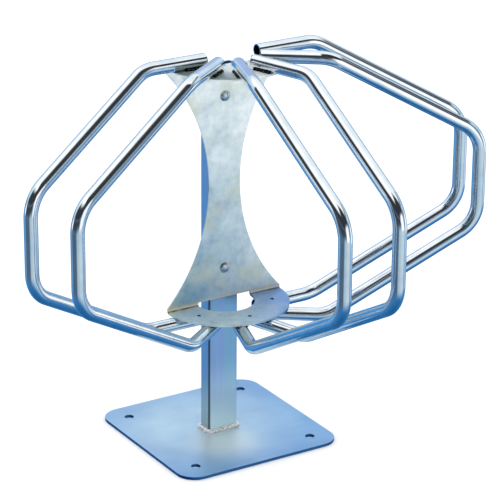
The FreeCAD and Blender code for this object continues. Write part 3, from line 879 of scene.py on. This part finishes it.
# Studio
# Soft light from all round. What the bright metal mirrors is a photographer's set: a blue sweep that pales
# towards a white ceiling, with white, grey and blue cards and dark flags hung round the rack.
DEEP_BLUE = linear("#1F5A8C")
BLUE = linear("#3B78B2")
BRIGHT_BLUE = linear("#4A8AC2")
STEEL_BLUE = linear("#7199BC")
PALE_BLUE = linear("#BDD2E2")
LILAC = linear("#9CB0D8")
WHITE = linear("#FFFFFF")
CEILING_GREY = linear("#E4EBEE")
MILD_GREY = linear("#B6CAD6")
GREY = linear("#A8BAC4")
DULL_GREY = linear("#6F8898")
SLATE = linear("#4A5F74")
SHADE = linear("#363E48")
FLAG = linear("#2F343A")
SET_STRENGTH = 1.25
DOME_STRENGTH = 1.30
CAMERA_AZIMUTH = math.radians(-31.233)
SWEEP = [(-1.0, DEEP_BLUE), (-0.55, BLUE), (-0.30, STEEL_BLUE), (0.05, STEEL_BLUE), (0.25, PALE_BLUE),
         (0.50, PALE_BLUE), (0.75, WHITE), (1.0, WHITE)]
# Each card: its colour, its heading to the right of the camera and half its width in degrees, the levels
# between which it hangs, from -1 straight down to 1 straight up, and how far its edges blur in degrees
CARDS = [
    (CEILING_GREY, 150, 50, 0.50, 1.00, 8),
    (LILAC, 182, 24, 0.05, 0.46, 8),
    (BRIGHT_BLUE, -140, 30, -0.58, 0.12, 8),
    (STEEL_BLUE, 142, 16, -0.02, 0.24, 6),
    (FLAG, -5, 88, 0.28, 0.80, 5),
    (FLAG, 40, 42, 0.42, 1.00, 4),
    (FLAG, 110, 25, 0.50, 0.66, 5),
    (SHADE, -36, 52, -0.20, 0.34, 8),
    (SLATE, -52, 36, -0.60, -0.12, 12),
    (GREY, 12, 24, -0.60, -0.12, 12),
    (MILD_GREY, 52, 28, -0.60, -0.12, 12),
    (WHITE, 46, 20, -0.22, 0.42, 5),
    (DULL_GREY, 82, 16, -0.08, 0.40, 6),
    (WHITE, 108, 14, -0.34, 0.12, 5),
    (WHITE, -97, 10, -0.14, 0.16, 5),
]

room = bpy.data.worlds.new("studio")
bpy.context.scene.world = room
room.use_nodes = True
tree = room.node_tree
tree.nodes.clear()
facing = add(tree, "TexCoord").outputs["Generated"]
level = add(tree, "SeparateXYZ", {0: facing}).outputs["Z"]
share = add(tree, "MapRange", {"Value": level, "From Min": -1.0, "From Max": 1.0})
seen = add(tree, "ValToRGB", {"Fac": share.outputs[0]},
           [((height + 1) / 2, colour) for height, colour in SWEEP]).outputs[0]
for colour, heading, half_width, low, high, blur in CARDS:
    turn = CAMERA_AZIMUTH + math.radians(heading)
    forward = (math.sin(turn), -math.cos(turn), 0)
    rightward = (math.cos(turn), math.sin(turn), 0)
    ahead = add(tree, "VectorMath", {0: facing, 1: forward}, operation="DOT_PRODUCT")
    aside = add(tree, "VectorMath", {0: facing, 1: rightward}, operation="DOT_PRODUCT")
    swing = add(tree, "Math", {0: aside.outputs["Value"], 1: ahead.outputs["Value"]}, operation="ARCTAN2")
    away = add(tree, "Math", {0: swing.outputs[0]}, operation="ABSOLUTE")
    edge = math.radians(half_width)
    soft = math.radians(blur)
    within = [
        add(tree, "MapRange", {"Value": value, "From Min": outside, "From Max": inside},
            interpolation_type="SMOOTHSTEP")
        for value, outside, inside in ((away.outputs[0], edge + soft, edge - soft),
                                       (level, low - soft, low + soft), (level, high + soft, high - soft))
    ]
    both = add(tree, "Math", {0: within[1].outputs[0], 1: within[2].outputs[0]}, operation="MULTIPLY")
    cover = add(tree, "Math", {0: within[0].outputs[0], 1: both.outputs[0]}, operation="MULTIPLY")
    seen = add(tree, "MixRGB", {"Fac": cover.outputs[0], "Color1": seen, "Color2": colour}).outputs[0]
mirrored = add(tree, "Background", {"Color": seen, "Strength": SET_STRENGTH})
dome = add(tree, "Background", {"Color": WHITE, "Strength": DOME_STRENGTH})
ray = add(tree, "LightPath")
light = add(tree, "MixShader", {"Fac": ray.outputs["Is Glossy Ray"], 1: dome.outputs[0],
                                2: mirrored.outputs[0]})
add(tree, "OutputWorld", {"Surface": light.outputs[0]})
room.cycles.sampling_method = "NONE"
bpy.context.scene.view_settings.view_transform = "Standard"

# Camera
# It stands as the photograph's did: 21 degrees above the rack's middle, 31 degrees round to its left.
CAMERA_ELEVATION = math.radians(21.157)
CAMERA_DISTANCE = 3.74568
CAMERA_PIVOT = Vector((0, 0, 0.300))
CAMERA_AIM = Vector((0.03897, -0.02363, 0.29262))
CAMERA_ROLL = math.radians(0.411)
CAMERA_LENS = 182.3
CAMERA_SEES_TO = 100.0
toward_camera = Vector((math.sin(CAMERA_AZIMUTH), -math.cos(CAMERA_AZIMUTH), 0))
bpy.ops.object.camera_add(location=CAMERA_PIVOT + CAMERA_DISTANCE * (
    toward_camera * math.cos(CAMERA_ELEVATION) + UP * math.sin(CAMERA_ELEVATION)))
camera = bpy.context.object
camera.data.lens = CAMERA_LENS
camera.data.clip_end = CAMERA_SEES_TO
camera.rotation_mode = "QUATERNION"
view = (CAMERA_AIM - camera.location).to_track_quat("-Z", "Y")
camera.rotation_quaternion = view @ Quaternion((0, 0, 1), CAMERA_ROLL)
bpy.context.scene.camera = camera
